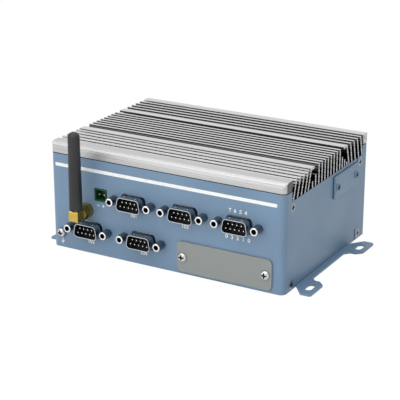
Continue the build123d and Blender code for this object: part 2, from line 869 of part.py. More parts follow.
def make_sleeve(start):
    """Tapered sleeve over the stem, with a rounded tip."""
    x, z = antenna_place
    elbow_top = z + elbow_rise + elbow_side / 2
    foot = (sleeve_foot_width / 2, elbow_top + stem_gap)
    tip = (sleeve_tip_width / 2, sleeve_top)
    bore = stem_width / 2
    bore_top = elbow_top + stem_height
    section = polygon((0, bore_top), (bore, bore_top), (bore, foot[1]), foot, tip, (0, sleeve_top))
    sleeve = revolve(Plane.XZ * section, Axis.Z)
    rim = sleeve.edges().filter_by(GeomType.CIRCLE).sort_by(Axis.Z)[-1]
    return Pos(x, y_at(-start - elbow_length / 2), 0) * fillet(rim, sleeve_round)


def make_antenna():
    """Right-angle stub antenna on its bulkhead jack."""
    nut_start = lock_nut_thickness + nut_gap
    nut_end = nut_start + coupling_nut_length
    return {
        "antenna_jack": make_antenna_jack(),
        "antenna_lock_nut": make_lock_nut(),
        "antenna_coupling_nut": make_coupling_nut(nut_start, nut_end),
        "antenna_elbow": make_elbow(nut_end),
        "antenna_sleeve": make_sleeve(nut_end),
    }


def make_board(low):
    """A bare board, drilled for its posts."""
    half = wall_inner - board_side_gap
    deep = (y_at(board_front), y_at(rear_panel_inner - board_rear_gap))
    board = block((-half, half), deep, (low, low + board_thickness))
    for x, depth in board_post_places():
        hole = Cylinder(thread / 2 + thread_clearance, 4 * board_thickness)
        board = board - Pos(x, y_at(depth), low) * hole
    return board


def make_posts(low, high, stud_length):
    """Four hexagonal posts, tapped at the top, each with a stud through what is below it."""
    posts = []
    for x, depth in board_post_places():
        post = extrude(hexagon(standoff_flats), amount=high - low)
        post = post + Pos(0, 0, -stud_length / 2) * Cylinder(thread / 2, stud_length)
        post = post - Pos(0, 0, high - low - post_bore_depth / 2) * Cylinder(thread / 2, post_bore_depth)
        posts.append(Pos(x, y_at(depth), low) * post)
    return joined(posts)


def make_board_screws():
    """Short pan head screws that hold the upper board on its posts."""
    screw = pan_screw(board_screw_head, board_screw_head_height, thread, board_thickness + board_screw_grip)
    return joined([Pos(x, y_at(depth), upper_board_top) * screw for x, depth in board_post_places()])


def on_board(place, width, depth, low, high):
    """A box standing over a place on a board."""
    x, y = place
    return block((x - width / 2, x + width / 2), (y - depth / 2, y + depth / 2), (low, high))


def make_processor():
    """Processor, the soft pad on it and the block that carries its heat to the lid."""
    top = upper_board_top + processor_height
    chip = on_board(processor_place, processor_side, processor_side, upper_board_top, top)
    pad = on_board(processor_place, processor_side, processor_side, top, top + pad_thickness)
    cooler = on_board(processor_place, block_side, block_side, top + pad_thickness, lid_base_low)
    cooler = chamfer(cooler.edges().filter_by(Axis.Z), block_edge)
    return {"processor": chip, "thermal_pad": pad, "heat_block": cooler}


def make_plug_in(board_top, place, width, length, socket_depth, socket_height):
    """A socket, and the card that plugs into it and lies level over the board."""
    x, y = place[0], y_at(place[1])
    socket = on_board((x, y), width, socket_depth, board_top, board_top + socket_height)
    low = board_top + card_lift
    half = width / 2 - card_edge
    level = (low, low + card_thickness)
    socket = socket - block((x - half, x + half), (y, y + socket_depth), level)
    card = block((x - half, x + half), (y, y + length), level)
    chip_wide = (x - half + chip_inset, x + half - chip_inset)
    chip_deep = (y + (socket_depth + chip_inset) / 2, y + length - chip_inset)
    chip = block(chip_wide, chip_deep, (level[1], level[1] + chip_thickness))
    return socket, card + chip


def make_cell():
    """Round holder, and the coin cell in it."""
    x, y = cell_place
    height = cell_holder_wall + cell_height
    holder = Cylinder(cell_width / 2 + cell_holder_wall, height)
    holder = Pos(x, y, upper_board_top + height / 2) * holder
    floor = upper_board_top + cell_holder_wall
    pocket = Pos(x, y, floor + cell_height / 2) * Cylinder(cell_width / 2 + cell_gap, cell_height)
    cell = Pos(x, y, floor + cell_height / 2) * Cylinder(cell_width / 2, cell_height)
    return holder - pocket, cell


def span(middle, size):
    """Low and high value of something SIZE across."""
    return (middle - size / 2, middle + size / 2)


def make_lan_port(x):
    """Network socket: a shielded block with its stepped mouth to the rear."""
    back = chassis_depth + rear_port_proud
    high = (upper_board_top, upper_board_top + lan_height)
    body = block(span(x, lan_width), (y_at(back - lan_depth), y_at(back)), high)
    low = upper_board_top + lan_mouth_rise
    mouth_y = (y_at(back - lan_mouth_depth), y_at(back + hole_spare))
    body = body - block(span(x, lan_mouth_width), mouth_y, (low, low + lan_mouth_height))
    return body - block(span(x, lan_key_width), mouth_y, (low - lan_key_height, low))


def make_usb_port(x):
    """Two stacked sockets in one shield, each with its tongue."""
    back = chassis_depth + rear_port_proud
    high = (upper_board_top, upper_board_top + usb_height)
    body = block(span(x, usb_width), (y_at(back - usb_depth), y_at(back)), high)
    mouth_y = (y_at(back - usb_mouth_depth), y_at(back + hole_spare))
    tongue_y = (y_at(back - usb_mouth_depth), y_at(back - usb_tongue_side_gap))
    tongue_x = span(x, usb_mouth_width - 2 * usb_tongue_side_gap)
    for storey in (0, 1):
        low = upper_board_top + usb_floor + storey * usb_storey
        top = low + usb_mouth_height - usb_tongue_top_gap
        body = body - block(span(x, usb_mouth_width), mouth_y, (low, low + usb_mouth_height))
        body = body + block(tongue_x, tongue_y, (top - usb_tongue_height, top))
    return body


def make_video_port(x):
    """Flat display socket with a tongue inside its shell."""
    back = chassis_depth + rear_port_proud
    middle = upper_board_top + video_height / 2
    face = Plane(origin=(x, y_at(back), middle), x_dir=(-1, 0, 0), z_dir=(0, 1, 0))
    body = pull(face, Rectangle(video_width, video_height), -video_depth, 0)
    mouth = Rectangle(video_width - 2 * video_wall, video_height - 2 * video_wall)
    body = body - pull(face, mouth, -video_mouth_depth, hole_spare)
    tongue = Rectangle(video_tongue_width, video_tongue_height)
    return body + pull(face, tongue, -video_mouth_depth, -video_wall)


def make_card_reader():
    """Two-storey card reader behind the access window, standing on the upper board."""
    depth, middle = access_middle
    outer = wall_inner - board_side_gap
    window = middle - access_window_drop
    high = (upper_board_top, window + access_window_height / 2)
    body = block((outer - reader_depth, outer), span(y_at(depth), reader_width), high)
    inside = span(y_at(depth), reader_width - 2 * reader_wall)
    slot_x = (outer - reader_depth + reader_wall, outer + hole_spare)
    for rise in (-reader_slot_rise, reader_slot_rise):
        body = body - block(slot_x, inside, span(window + rise, reader_slot_height))
    return body


def make_antenna_lead():
    """Thin coaxial lead from the back of the antenna jack to the radio card."""
    x, z = antenna_place
    start = y_at(sheet + jack_body_length + jack_tail_length)
    card_top = lower_board_top + card_lift + card_thickness + chip_thickness
    landing = y_at(radio_place[1] + lead_landing)
    path = FilletPolyline((x, start, z), (x, landing, z), (x, landing, card_top), radius=lead_bend)
    return sweep(Plane(origin=(x, start, z), z_dir=(0, 1, 0)) * Circle(lead_width / 2), path=path)


def make_board_parts():
    """Everything else that the two boards carry."""
    parts = make_processor()
    memory_sizes = (memory_place, memory_width, memory_length, memory_socket_depth, memory_socket_height)
    parts["memory_socket"], parts["memory_module"] = make_plug_in(upper_board_top, *memory_sizes)
    storage_sizes = (storage_place, storage_width, storage_length, card_socket_depth, card_socket_height)
    parts["storage_socket"], parts["storage_card"] = make_plug_in(lower_board_top, *storage_sizes)
    radio_sizes = (radio_place, radio_width, radio_length, card_socket_depth, card_socket_height)
    parts["radio_socket"], parts["radio_card"] = make_plug_in(lower_board_top, *radio_sizes)
    parts["cell_holder"], parts["coin_cell"] = make_cell()
    parts["board_link"] = on_board(link_place, link_width, link_depth, lower_board_top, upper_board_low)
    chip_high = (lower_board_top, lower_board_top + controller_height)
    parts["port_controller"] = on_board(controller_place, controller_side, controller_side, *chip_high)
    socket_place = (blank_place[0], y_at(expansion_socket_back + expansion_socket_depth / 2))
    socket_high = (lower_board_top, lower_board_top + expansion_socket_height)
    socket = on_board(socket_place, expansion_socket_width, expansion_socket_depth, *socket_high)
    parts["expansion_socket"] = socket
    parts["card_reader"] = make_card_reader()
    parts["lan_ports"] = joined([make_lan_port(x) for x in lan_places])
    parts["usb_ports"] = joined([make_usb_port(x) for x in usb_places])
    parts["video_port"] = make_video_port(video_place)
    return parts


def make_cover_screws(face, spacing, screw):
    """Two screws on a cover's face."""
    return joined([face.location * spot * screw for spot in pair(spacing)])


def make_screws():
    """Wall, cover and earth screws, and the earth washer."""
    wall_screw = sunk_screw(screw_length)
    walls = [side_plane(*place).location for place in side_screw_places()]
    screws = {"wall_screws": joined([wall * wall_screw for wall in walls])}
    blank = front_plane(*blank_place, -blank_thickness)
    cover_screw = pan_screw(pan_head, pan_height, thread, screw_length)
    spacing = blank_width - 2 * blank_screw_inset
    screws["expansion_cover_screws"] = make_cover_screws(blank, spacing, cover_screw)
    access = side_plane(1, *access_middle, -access_thickness)
    small_screw = pan_screw(small_pan_head, small_pan_height, thread, screw_length)
    spacing = access_length - 2 * access_screw_inset
    screws["access_cover_screws"] = make_cover_screws(access, spacing, small_screw)
    earth = front_plane(*earth_place)
    washer = Circle(earth_washer / 2) - Circle(earth_thread / 2 + thread_clearance)
    screws["earth_washer"] = pull(earth, washer, 0, earth_washer_thickness)
    earth_screw = pan_screw(earth_head, earth_head_height, earth_thread, earth_length)
    screws["earth_screw"] = earth.offset(earth_washer_thickness).location * earth_screw
    return screws


def main():
    """Makes every piece and writes one file for each."""
    os.makedirs("parts", exist_ok=True)
    pieces = {
        "wrap_cover": make_wrap_cover(),
        "base_plate": make_base_plate(),
        "rear_panel": make_rear_panel(),
        "heatsink": make_heatsink(),
        "expansion_cover": make_expansion_cover(),
        "access_cover": make_access_cover(),
    }
    pieces.update(make_screws())
    for number, place in enumerate(port_places, 1):
        shell, core, pins = make_port(*place)
        pieces[f"port_{number}_shell"] = shell
        pieces[f"port_{number}_insulator"] = core
        pieces[f"port_{number}_pins"] = pins
    pieces["jackscrews"] = make_jackscrews()
    pieces["power_housing"], pieces["power_pins"] = make_power_inlet()
    pieces.update(make_antenna())
    pieces["upper_board"] = make_board(upper_board_low)
    pieces["lower_board"] = make_board(lower_board_low)
    pieces["lower_posts"] = make_posts(plate_thickness, lower_board_low, plate_thickness)
    pieces["upper_posts"] = make_posts(lower_board_top, upper_board_low, board_thickness + post_stud_grip)
    pieces["board_screws"] = make_board_screws()
    pieces.update(make_board_parts())
    pieces["antenna_lead"] = make_antenna_lead()
    for name, shape in pieces.items():
        export(shape, name)


main()
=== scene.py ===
"""Fanless box computer: finishes, printed marks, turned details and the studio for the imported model.

Laid out as a Blender add-on with one operator for each group of pieces, and run as a script.
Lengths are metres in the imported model's own frame: X to the right, Y to the rear, Z up.
"""

import json
from math import cos, pi, radians, sin

import bmesh
import bpy
from bpy.props import FloatProperty, FloatVectorProperty, PointerProperty
from bpy.types import Operator, Panel, PropertyGroup
from mathutils import Matrix, Vector

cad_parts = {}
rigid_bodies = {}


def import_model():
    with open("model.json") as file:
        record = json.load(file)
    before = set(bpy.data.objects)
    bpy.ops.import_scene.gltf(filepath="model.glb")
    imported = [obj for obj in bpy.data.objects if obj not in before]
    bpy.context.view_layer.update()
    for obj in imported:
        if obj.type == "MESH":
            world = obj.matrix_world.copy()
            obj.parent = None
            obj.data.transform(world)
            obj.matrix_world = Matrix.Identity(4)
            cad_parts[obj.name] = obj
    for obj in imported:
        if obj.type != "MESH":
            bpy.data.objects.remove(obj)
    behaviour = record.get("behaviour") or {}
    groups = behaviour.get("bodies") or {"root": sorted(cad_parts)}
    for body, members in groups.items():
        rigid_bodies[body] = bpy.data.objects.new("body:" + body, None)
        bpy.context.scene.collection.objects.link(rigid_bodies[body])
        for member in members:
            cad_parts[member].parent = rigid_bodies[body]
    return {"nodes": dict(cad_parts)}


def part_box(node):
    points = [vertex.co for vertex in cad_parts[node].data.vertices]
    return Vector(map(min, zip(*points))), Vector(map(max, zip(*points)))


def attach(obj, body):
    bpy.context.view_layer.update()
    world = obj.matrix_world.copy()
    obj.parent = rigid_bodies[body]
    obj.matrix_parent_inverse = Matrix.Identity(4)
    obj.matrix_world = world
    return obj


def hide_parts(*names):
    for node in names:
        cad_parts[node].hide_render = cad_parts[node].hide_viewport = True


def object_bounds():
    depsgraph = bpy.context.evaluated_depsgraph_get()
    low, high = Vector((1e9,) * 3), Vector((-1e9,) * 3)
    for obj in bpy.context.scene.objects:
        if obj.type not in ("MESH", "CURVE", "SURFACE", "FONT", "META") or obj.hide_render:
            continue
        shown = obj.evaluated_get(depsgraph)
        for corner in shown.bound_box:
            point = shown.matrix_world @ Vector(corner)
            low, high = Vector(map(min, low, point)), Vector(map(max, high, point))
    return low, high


bl_info = {
    "name": "Fanless box computer",
    "version": (1, 0, 0),
    "blender": (4, 5, 0),
    "location": "View3D > Sidebar > Box computer",
    "description": "Finishes, printed marks and studio for a fanless box computer",
    "category": "Object",
}

for leftover in list(bpy.data.objects):
    bpy.data.objects.remove(leftover)
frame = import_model()
cad_low, cad_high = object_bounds()

MM = 0.001
# Y of the front panel's face, from which depths are counted.
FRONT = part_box("wrap_cover")[0].y
# The middle of each port as X and Z, and the distance between its two jackscrews, in millimetres.
PORTS = ((-20.04, 37.0), (-50.13, 15.25), (14.31, 37.0), (-13.55, 15.25), (48.94, 37.0))
JACK_SPACING = 24.99

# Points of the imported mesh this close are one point, and facets that turn less than this are one face.
WELD_DISTANCE = 0.0002 * MM
FACET_TURN = radians(0.4)

# The wave texture's phase at scale 1 over one unit.
WAVE_PHASE = 20.0
# Height of the built-in font's numerals at size 1, and how far their outlines are set out to make them bolder.
NUMERAL_SHARE = 0.69
NUMERAL_WEIGHT = 0.03

# The camera as solved from the photograph, and the studio round the object, in metres.
CAMERA_PLACE = (0.3765, -0.66925, 0.3044)
CAMERA_TARGET = (-0.00445, -0.00435, 0.02593)
CAMERA_LENS = 122.0
SENSOR_WIDTH = 36.0
KEY_PLACE, KEY_SIZE = (0.05, -0.25, 0.95), 1.44
FILL_PLACE, FILL_SIZE = (-0.35, -1.15, 0.42), 1.3
LAMP_TARGET = (0.0, 0.0, 0.03)
FLOOR_REACH = 6.0
FLOOR_GLOW, FLOOR_GLOW_SHARE = 1.03, 0.93


def hex_colour(code):
    """An sRGB hex colour as linear red, green, blue and alpha."""
    values = [int(code[i:i + 2], 16) / 255 for i in (0, 2, 4)]
    linear = [v / 12.92 if v <= 0.04045 else ((v + 0.055) / 1.055) ** 2.4 for v in values]
    return (*linear, 1.0)


def colour(code, name, description):
    """A colour property, given as an sRGB hex colour."""
    return FloatVectorProperty(name=name, description=description, subtype="COLOR", size=4, min=0, max=1,
                               default=hex_colour(code))


def length(value, name, description):
    """A length property, given in millimetres and kept in metres."""
    return FloatProperty(name=name, description=description, default=value * MM, min=0.0, unit="LENGTH",
                         precision=5)


def power(value, name, description):
    """A lamp's power property, given in watts."""
    return FloatProperty(name=name, description=description, default=value, unit="POWER")


class HousingFinish(PropertyGroup):
    paint: colour("7793AE", "Housing paint", "Powder coat of the front panel, side walls and rear")
    paint_shade: colour("6E89A4", "Housing paint, shaded", "The darker tone that the powder coat drifts to")
    base_paint: colour("7390AC", "Base paint", "Powder coat of the base plate and its ears")
    blank_paint: colour("8F9493", "Blank plate paint", "Grey coat of the plate over the expansion opening")
    peel: length(0.45, "Orange peel", "Size of the powder coat's fine waves")
    edge: length(0.15, "Sheet edge", "Radius that deburring and paint leave on sheet edges")
    # The screw recess colour is painted shade in the cross recesses of the screws.
    recess: colour("16181A", "Screw recess", "Oil and dust in the cross recesses of the screws")


class LidFinish(PropertyGroup):
    metal: colour("D7D7D7", "Anodised metal", "Clear anodised aluminium of the finned lid")
    # The lip tone is painted shade: a darker copy of the metal that dims the lip's reflection.
    streak: colour("C1C1C1", "Die lines", "Darker lines that the die leaves along the extrusion")
    lip: colour("BDBDBD", "Lip", "Denser anodising on the lip, which the die draws smooth")
    # Painted shade: the groove walls' tone darkens the walls and floors between the fins; the open groove tone
    # is painted light on the upper walls between the front fins.
    groove: colour("0D0E0F", "Groove walls", "Dull walls and floors between the upright fins")
    open_groove: colour("C2C2C3", "Open groove walls", "Walls between the front fins, which lean back")
    sawn: colour("A9ABAC", "Sawn ends", "Sawn faces at both ends of the extrusion")
    # The milled tone is painted shade on the lip's end faces.
    milled: colour("5E5F60", "Milled lip ends", "Duller milled faces at both ends of the lip")
    die_line: length(0.35, "Die line spacing", "Distance between the lines along the extrusion")
    edge: length(0.07, "Fin edge", "Radius on the extrusion's edges")


class PortFinish(PropertyGroup):
    # Painted light and shade: the jackscrews' front faces take the bright nickel tone and their sides a darker
    # painted shade.
    nickel: colour("F1F2F2", "Nickel plate", "Bright plating on the ends of the jackscrews")
    # Painted light and shade: the shells' rims take the lighter rim tone where they look to the front, and
    # their sides the darker pressed tone.
    rim_tone: colour("D0D2D2", "Shell rims", "Softer shine on the pressed shells' rims")
    drawn: colour("6E757C", "Drawn sides", "Duller plating on the sides of the jackscrews")
    pressed: colour("8F969E", "Pressed sides", "Plating on the pressed sides of the shells")
    # The bore tone is near-black painted shade inside the jackscrews' bores.
    bore: colour("050506", "Bore", "Dark finish inside the jackscrews' bores")
    insulator: colour("0E0E10", "Insulator", "Black moulding behind the pins")
    # Painted light and shade: the contact tip tone is a painted highlight on the pins' tips, and the dark tone
    # below it painted shade on their sides.
    gold: colour("FBFAF6", "Contact tip", "Polished tips of the pins")
    shank: colour("2E2A22", "Contact shank", "Thin gold flash on the pins' sides")
    terminal: colour("0D4A20", "Terminal block", "Green moulding of the power inlet")
    rim: length(0.09, "Shell rim", "Radius on the pressed shell's rim")
    thread_pitch: length(0.64, "Thread pitch", "Pitch of the thread in the jackscrews")


class AntennaFinish(PropertyGroup):
    # Painted light and shade: the gold tone lights the faces that look to the front, and the brass tone is
    # painted shade on the sides.
    gold: colour("D2B058", "Gold plate", "Thin gold plate on the antenna's faces")
    brass: colour("8A7836", "Brass sides", "Tarnished sides of the antenna's brass parts")
    sleeve: colour("1D1D1F", "Sleeve", "Black elastomer of the antenna's sleeve")
    edge: length(0.18, "Brass edge", "Radius on the brass parts")


class PrintFinish(PropertyGroup):
    ink: colour("FCFDFD", "Ink", "White ink of the strip and numbers")
    thickness: length(0.04, "Ink thickness", "How proud the ink stands")
    numeral: length(2.25, "Numeral height", "Height of the printed numbers")


class StudioLook(PropertyGroup):
    floor: colour("F4F4F4", "Floor", "Pale studio floor")
    key_power: power(6.5, "Key light", "Power of the large light above")
    fill_power: power(5.2, "Fill light", "Power of the light in front, on the left")
    sky: FloatProperty(name="Sky level", description="Strength of the world's even light", default=0.5)
    slope: FloatProperty(name="Sky slope", description="How much darker the sky is on the right", default=0.5)


SETTINGS = {
    "box_housing": HousingFinish,
    "box_lid": LidFinish,
    "box_ports": PortFinish,
    "box_antenna": AntennaFinish,
    "box_print": PrintFinish,
    "box_studio": StudioLook,
}


def add_node(tree, kind, settings=None, **inputs):
    """Adds a node with its settings, and gives its inputs a value or a link from another node's output."""
    made = tree.nodes.new(kind)
    for name, value in (settings or {}).items():
        setattr(made, name, value)
    for name, value in inputs.items():
        key = int(name[1:]) if name[1:].isdigit() else name.replace("_", " ")
        if isinstance(value, bpy.types.NodeSocket):
            tree.links.new(value, made.inputs[key])
        else:
            made.inputs[key].default_value = value
    return made


def per_mm(size):
    """Texture scale for a pattern whose features are SIZE millimetres across."""
    return 1.0 / (size * MM)


def tinted(tone, factor, lift=0.0):
    """A tone made lighter or darker by a factor, and lifted a little from black."""
    return [min(1.0, c * factor + lift) for c in tone[:3]] + [1.0]


def new_material(name):
    """A material with its shader, its output and the place on the object in metres."""
    made = bpy.data.materials.new(name)
    made.use_nodes = True
    tree = made.node_tree
    tree.nodes.clear()
    shader = add_node(tree, "ShaderNodeBsdfPrincipled")
    add_node(tree, "ShaderNodeOutputMaterial", Surface=shader.outputs["BSDF"])
    place = add_node(tree, "ShaderNodeTexCoord").outputs["Object"]
    return made, tree, shader, place


def blended(tree, low, high, factor):
    """A colour between two others, by a factor from a pattern."""
    mixed = add_node(tree, "ShaderNodeMix", {"data_type": "RGBA"}, i0=factor, i6=low, i7=high)
    return mixed.outputs[2]


def between(tree, low, high, factor):
    """A number between two others, by a factor from a pattern."""
    return add_node(tree, "ShaderNodeMix", {"data_type": "FLOAT"}, i0=factor, i2=low, i3=high).outputs[0]


def ranged(tree, factor, low, high, start=0.0, end=1.0):
    """A pattern's values from START to END spread between LOW and HIGH."""
    made = add_node(tree, "ShaderNodeMapRange", i0=factor, i1=start, i2=end, i3=low, i4=high)
    return made.outputs[0]


def above(tree, factor, start, end):
    """0 where a pattern is under START, rising to 1 at END."""
    return ranged(tree, factor, 0.0, 1.0, start, end)


def below(tree, factor, start, end):
    """1 where a pattern is under START, falling to 0 at END."""
    return ranged(tree, factor, 1.0, 0.0, start, end)


def arithmetic(tree, operation, *values):
    """One step of arithmetic on patterns."""
    inputs = {f"i{number}": value for number, value in enumerate(values)}
    return add_node(tree, "ShaderNodeMath", {"operation": operation}, **inputs).outputs[0]


def either(tree, first, second):
    """Where one of two patterns is present."""
    return arithmetic(tree, "MAXIMUM", first, second)


def both(tree, first, second):
    """Where two patterns are both present."""
    return arithmetic(tree, "MULTIPLY", first, second)


def parts_of(tree, vector):
    """The X, Y and Z of a vector."""
    split = add_node(tree, "ShaderNodeSeparateXYZ", Vector=vector)
    return split.outputs["X"], split.outputs["Y"], split.outputs["Z"]


def facing(tree, axis):
    """How squarely the surface faces along one axis of the object, either way."""
    normal = add_node(tree, "ShaderNodeNewGeometry").outputs["Normal"]
    return arithmetic(tree, "ABSOLUTE", parts_of(tree, normal)["XYZ".index(axis)])


def seen_directly(tree):
    """Whether a ray comes from the camera, a reflection or a refraction, and not from diffuse light."""
    ray = add_node(tree, "ShaderNodeLightPath")
    seen = either(tree, ray.outputs["Is Camera Ray"], ray.outputs["Is Glossy Ray"])
    return either(tree, seen, ray.outputs["Is Transmission Ray"])


def noise_at(tree, place, size, detail=2.0, stretch=None):
    """Noise whose features are SIZE millimetres across, drawn out by the factors in STRETCH."""
    if stretch:
        scale = [1.0 / s for s in stretch]
        place = add_node(tree, "ShaderNodeMapping", i0=place, Scale=scale).outputs[0]
    made = add_node(tree, "ShaderNodeTexNoise", Vector=place, Scale=per_mm(size), Detail=detail)
    return made.outputs["Fac"]


def cutter_arcs(tree, place, axis, spacing, distortion, detail):
    """Rings round an axis, SPACING millimetres apart, as a saw or a milling cutter leaves them."""
    made = add_node(tree, "ShaderNodeTexWave", {"wave_type": "RINGS", "rings_direction": axis}, Vector=place,
                    Scale=per_mm(spacing) / WAVE_PHASE, Distortion=distortion, Detail=detail)
    return made.outputs["Fac"]


def raised(tree, shader, height, depth, strength=1.0):
    """Turns a pattern into relief DEPTH millimetres deep on the shader's surface."""
    bump = add_node(tree, "ShaderNodeBump", Height=height, Distance=depth * MM, Strength=strength)
    tree.links.new(bump.outputs[0], shader.inputs["Normal"])


def powder_coated_steel(name, tone, shade, peel, fleck=1.12, gap_shade=None):
    """Powder coat on sheet steel: melted powder leaves fine waves and a broken, satin shine.

    The last argument gives, from the shader's tree and the place, where painted shade darkens the coat in gaps
    and openings.
    """
    made, tree, shader, place = new_material(name)
    waves = noise_at(tree, place, peel / MM, 3.0)
    drift = noise_at(tree, place, 38.0, 1.0)
    speck = noise_at(tree, place, 0.8, 4.0)
    base = blended(tree, shade, tone, above(tree, drift, 0.3, 0.7))
    base = blended(tree, base, tinted(tone, fleck), ranged(tree, speck, 0.0, 0.35, 0.52, 0.72))
    if gap_shade:
        # Painted shade: a dark blue-grey where the sheet's edges sit in gaps and openings.
        base = blended(tree, base, hex_colour("1B222B"), gap_shade(tree, place))
    tree.links.new(base, shader.inputs["Base Color"])
    tree.links.new(ranged(tree, waves, 0.36, 0.50), shader.inputs["Roughness"])
    shader.inputs["IOR"].default_value = 1.5
    raised(tree, shader, waves, 0.018, 0.6)
    return made


def cut_edges(tree, place):
    """Where painted shade darkens the cut edges of the wrapped cover's sheet, which sit in gaps and openings.

    They are the edges round the openings of the front and of the side walls, in the slits and along the top.
    """
    x, deep, high = parts_of(tree, place)
    across = arithmetic(tree, "ABSOLUTE", x)
    panel_back, flat_front = FRONT + 1.15 * MM, 73.0 * MM
    inner_wall, bend_end, top_edge = 76.0 * MM, FRONT + 4.0 * MM, 58.5 * MM
    front = both(tree, below(tree, deep, panel_back, panel_back + 0.15 * MM),
                 below(tree, across, flat_front, flat_front + 0.5 * MM))
    side = both(tree, above(tree, across, inner_wall, inner_wall + 0.1 * MM),
                above(tree, deep, bend_end, bend_end + 0.5 * MM))
    top = above(tree, high, top_edge, top_edge + 0.1 * MM)
    found = both(tree, front, below(tree, facing(tree, "Y"), 0.3, 0.6))
    found = either(tree, found, both(tree, side, below(tree, facing(tree, "X"), 0.3, 0.6)))
    return either(tree, found, both(tree, top, above(tree, facing(tree, "Z"), 0.3, 0.7)))


def under_cover(tree, place):
    """Where painted shade darkens the access cover's side in the gap against the wall."""
    x, _, _ = parts_of(tree, place)
    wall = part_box("wrap_cover")[1].x
    return below(tree, x, wall + 0.40 * MM, wall + 0.45 * MM)


def anodised_extrusion(name, look):
    """Clear anodised aluminium: die lines run along X on the pressed faces, and saw arcs cross the end faces.

    The walls and floors of the grooves carry painted shade: darkest between the upright fins, below the seam
    and on the part inside the housing, with painted light lifting the upper walls between the front fins, which
    lean open.
    """
    made, tree, shader, place = new_material(name)
    x, deep, high = parts_of(tree, place)
    across = arithmetic(tree, "ABSOLUTE", x)
    lines = noise_at(tree, place, look.die_line / MM, 3.0, (160.0, 1.0, 1.0))
    cloud = noise_at(tree, place, 22.0, 2.0, (3.0, 1.0, 1.0))

    # Where the end faces, the lip, the rear rib, the grooves and the part inside the housing are.
    end_face = above(tree, facing(tree, "X"), 0.85, 0.95)
    behind_lip = above(tree, deep, FRONT + 8.5 * MM, FRONT + 9.5 * MM)
    before_rib = below(tree, deep, FRONT + 102.4 * MM, FRONT + 103.0 * MM)
    wall = below(tree, facing(tree, "Z"), 0.8, 0.97)
    floor = below(tree, high, 57.0 * MM, 62.5 * MM)
    groove = both(tree, either(tree, wall, floor), both(tree, behind_lip, before_rib))
    groove = both(tree, groove, below(tree, end_face, 0.0, 1.0))
    inside = both(tree, below(tree, across, 76.3 * MM, 76.6 * MM), below(tree, high, 58.8 * MM, 59.0 * MM))
    # Painted shade in the grooves and on the part inside the housing.
    darkened = either(tree, groove, inside)
    # Painted light: the groove walls lighten towards the top, most between the leaning front fins.
    leaning = ranged(tree, deep, 1.0, 0.2, FRONT + 29.0 * MM, FRONT + 31.0 * MM)
    lit = both(tree, leaning, above(tree, high, 60.0 * MM, 64.8 * MM))

    saw_axis = add_node(tree, "ShaderNodeMapping", i0=place, Location=(0.0, 0.09, 0.16)).outputs[0]
    arcs = cutter_arcs(tree, saw_axis, "X", 0.5, 0.6, 2.0)
    pressed = blended(tree, look.streak, look.metal, above(tree, lines, 0.3, 0.62))
    pressed = blended(tree, look.streak, pressed, ranged(tree, cloud, 0.7, 1.0, 0.3, 0.6))
    # Painted shade: the lip takes the darker lip tone.
    pressed = blended(tree, look.lip, pressed, ranged(tree, behind_lip, 0.2, 1.0))
    # Painted shade in the grooves, with painted light near their tops.
    pressed = blended(tree, pressed, blended(tree, look.groove, look.open_groove, lit), darkened)
    cut = blended(tree, look.sawn, look.metal, ranged(tree, arcs, 0.0, 0.6))
    # Painted shade on the end faces of the lip.
    cut = blended(tree, look.milled, cut, behind_lip)
    shown_end = both(tree, end_face, below(tree, inside, 0.0, 1.0))
    tree.links.new(blended(tree, pressed, cut, shown_end), shader.inputs["Base Color"])
    shader.inputs["Metallic"].default_value = 1.0
    tree.links.new(ranged(tree, lines, 0.42, 0.55), shader.inputs["Roughness"])
    raised(tree, shader, between(tree, lines, arcs, end_face), 0.005, 0.35)
    return made


def plated_metal(name, tone, rough, grain, tint=0.9, side=None, square=0.8):
    """Thin bright plate over a pressed or turned part: it keeps the faint pull marks of the metal below.

    SIDE is a darker tone painted as shade on faces that do not look squarely to the front and on what lies
    behind the panel, and SQUARE how squarely a face looks to the front before it starts to be bright.
    """
    made, tree, shader, place = new_material(name)
    pull = noise_at(tree, place, grain, 3.0, (1.0, 1.0, 4.0))
    stain = noise_at(tree, place, 3.5, 2.0)
    base = blended(tree, tinted(tone, tint), tone, above(tree, stain, 0.35, 0.65))
    # Painted light and shade: proud faces that look to the front keep the bright tone, all others take the side
    # tone.
    if side:
        _, deep, _ = parts_of(tree, place)
        proud = below(tree, deep, FRONT - 0.4 * MM, FRONT - 0.1 * MM)
        level = above(tree, facing(tree, "Y"), square, 0.5 + square / 2)
        base = blended(tree, side, base, both(tree, proud, level))
    tree.links.new(base, shader.inputs["Base Color"])
    shader.inputs["Metallic"].default_value = 1.0
    tree.links.new(ranged(tree, pull, rough * 0.8, rough * 1.3), shader.inputs["Roughness"])
    raised(tree, shader, pull, 0.004, 0.5)
    return made


def milled_aluminium(name, tone):
    """Bare milled aluminium: overlapping cutter arcs at a coarse feed."""
    made, tree, shader, place = new_material(name)
    arcs = cutter_arcs(tree, place, "Z", 0.6, 0.4, 1.0)
    tree.links.new(blended(tree, tinted(tone, 0.86), tone, arcs), shader.inputs["Base Color"])
    shader.inputs["Metallic"].default_value = 1.0
    tree.links.new(ranged(tree, arcs, 0.28, 0.4), shader.inputs["Roughness"])
    raised(tree, shader, arcs, 0.006, 0.5)
    return made


def moulded_plastic(name, tone, rough, grain, flow, sheen=1.1):
    """Injection moulded plastic: a fine spark-eroded grain and faint flow streaks."""
    made, tree, shader, place = new_material(name)
    sparks = noise_at(tree, place, grain, 3.0)
    streaks = noise_at(tree, place, flow, 3.0, (1.0, 1.0, 5.0))
    base = blended(tree, tone, tinted(tone, sheen, 0.003), above(tree, streaks, 0.35, 0.65))
    tree.links.new(base, shader.inputs["Base Color"])
    tree.links.new(ranged(tree, sparks, rough * 0.85, rough * 1.15), shader.inputs["Roughness"])
    shader.inputs["IOR"].default_value = 1.53
    raised(tree, shader, sparks, 0.01, 0.5)
    return made


